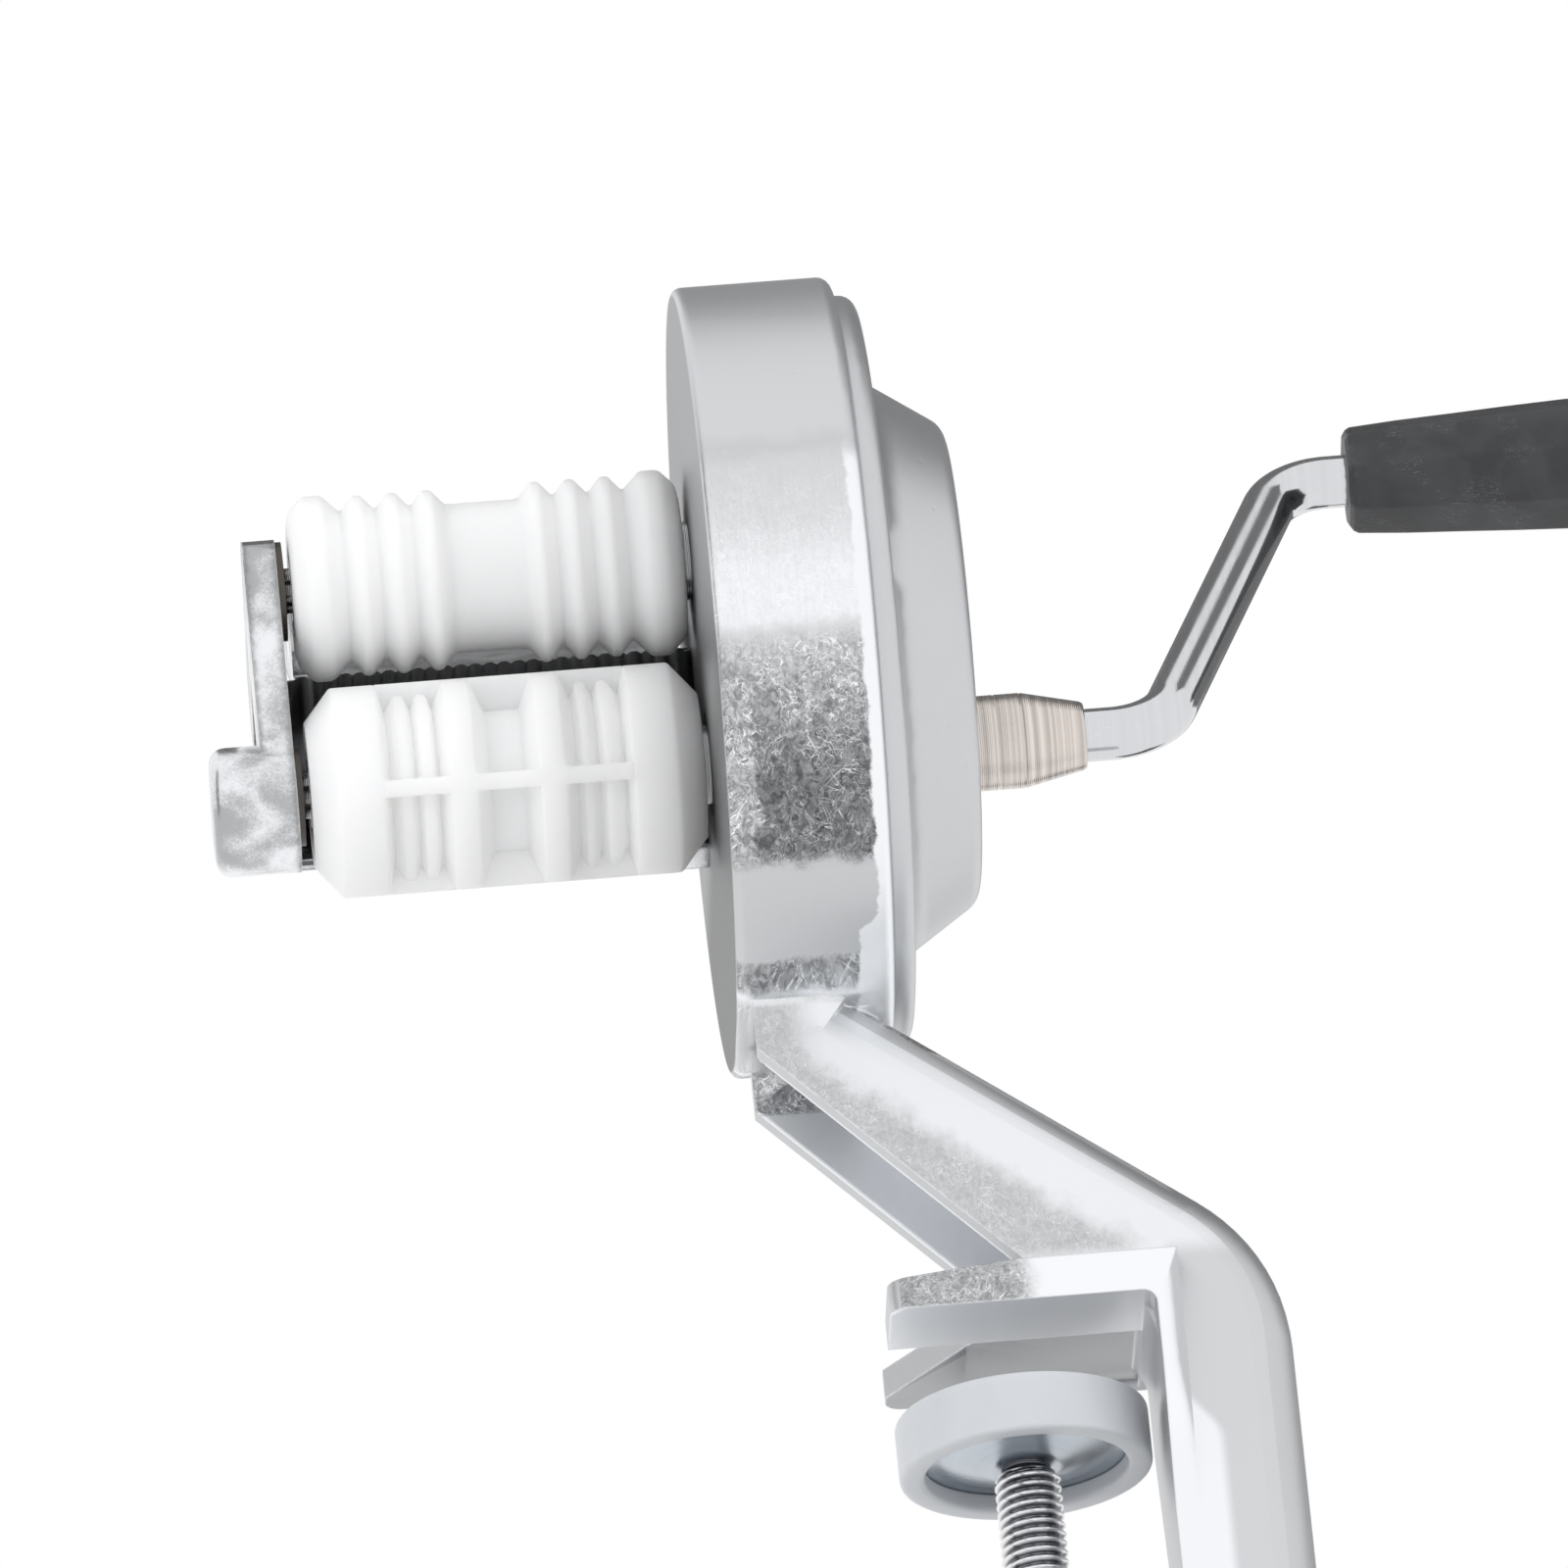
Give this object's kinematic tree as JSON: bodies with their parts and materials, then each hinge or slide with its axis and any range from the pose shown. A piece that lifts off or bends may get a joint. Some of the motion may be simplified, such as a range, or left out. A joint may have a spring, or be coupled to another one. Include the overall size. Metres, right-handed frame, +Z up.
{
  "type": "pasta shell maker",
  "caption": "Hand cranked pasta shell maker: two geared plastic rollers beside a round gear drum, on a cast arm with a table clamp.",
  "frame": {"origin": "on the clamp screw's axis, in the plane of the jaw's underside, which rests on the table", "axes": "+X along the rollers towards the crank, +Z up, so the dough tray is on the +Y side"},
  "size_m": [0.2656, 0.1277, 0.2755],
  "materials": {
    "cast_alloy": "satin die casting, its edges ground bright",
    "screw_steel": "zinc plated",
    "bush_bronze": "sintered bronze",
    "shaft_steel": "turned",
    "gear_steel": "hobbed, greased",
    "clip_steel": "spring steel, phosphated",
    "roller_plastic": "milky white, moulded",
    "collar_nickel": "turned and nickel plated",
    "rod_chrome": "chrome plated rod",
    "grip_black": "black, satin",
    "knob_black": "black, satin",
    "pad_plastic": "white, moulded",
    "dish_zinc": "pressed, blue zinc plated",
    "clamp_steel": "bright"
  },
  "bodies": {
    "casting": {"body_casting": "cast_alloy", "gear_cover": "cast_alloy", "cover_screws": "screw_steel", "roller_frame": "cast_alloy", "frame_screws": "screw_steel", "feed_face_bush": "bush_bronze", "forming_face_bush": "bush_bronze", "feed_end_bush": "bush_bronze", "forming_end_bush": "bush_bronze", "cover_bush": "bush_bronze", "idler_pin": "shaft_steel", "idler_clip": "clip_steel"},
    "drive": {"forming_shaft": "shaft_steel", "forming_roller": "roller_plastic", "pinion": "gear_steel", "pinion_clip": "clip_steel", "crank_collar": "collar_nickel", "crank_rod": "rod_chrome", "rod_washer": "screw_steel"},
    "idler": {"idler_gear": "gear_steel"},
    "feed": {"feed_shaft": "shaft_steel", "feed_roller": "roller_plastic", "feed_gear": "gear_steel", "feed_gear_clip": "clip_steel"},
    "grip": {"grip": "grip_black", "grip_plug": "grip_black"},
    "pad": {"pad_cap": "pad_plastic", "pad_dish": "dish_zinc"},
    "screw": {"clamp_screw": "clamp_steel", "cross_bar": "clamp_steel", "bar_knobs": "knob_black"}
  },
  "joints": [
    {"name": "crank_spin", "type": "hinge", "parent": "casting", "child": "drive", "pos_m": [0, 0, 0.0987], "axis": [1, 0, 0], "continuous": true},
    {"name": "idler_spin", "type": "hinge", "parent": "casting", "child": "idler", "pos_m": [-0.02, -0.01432, 0.10961], "axis": [1, 0, 0], "continuous": true},
    {"name": "feed_spin", "type": "hinge", "parent": "casting", "child": "feed", "pos_m": [-0.035, 0, 0.1325], "axis": [1, 0, 0], "continuous": true},
    {"name": "grip_spin", "type": "hinge", "parent": "drive", "child": "grip", "pos_m": [0.08, 0.04115, 0.15533], "axis": [1, 0, 0], "continuous": true},
    {"name": "screw_travel", "type": "slide", "parent": "casting", "child": "pad", "axis": [0, 0, 1], "range_m": [-0.0365, 0.0105]},
    {"name": "screw_turn", "type": "hinge", "parent": "pad", "child": "screw", "pos_m": [0, 0, 0], "axis": [0, 0, 1], "range_deg": [-8775, 2530]}
  ],
  "couplings": [
    {"joint": "idler_spin", "follows": "crank_spin", "ratio": -1},
    {"joint": "feed_spin", "follows": "crank_spin", "ratio": 0.5},
    {"joint": "screw_turn", "follows": "screw_travel", "rad_per_m": 4188.8}
  ]
}
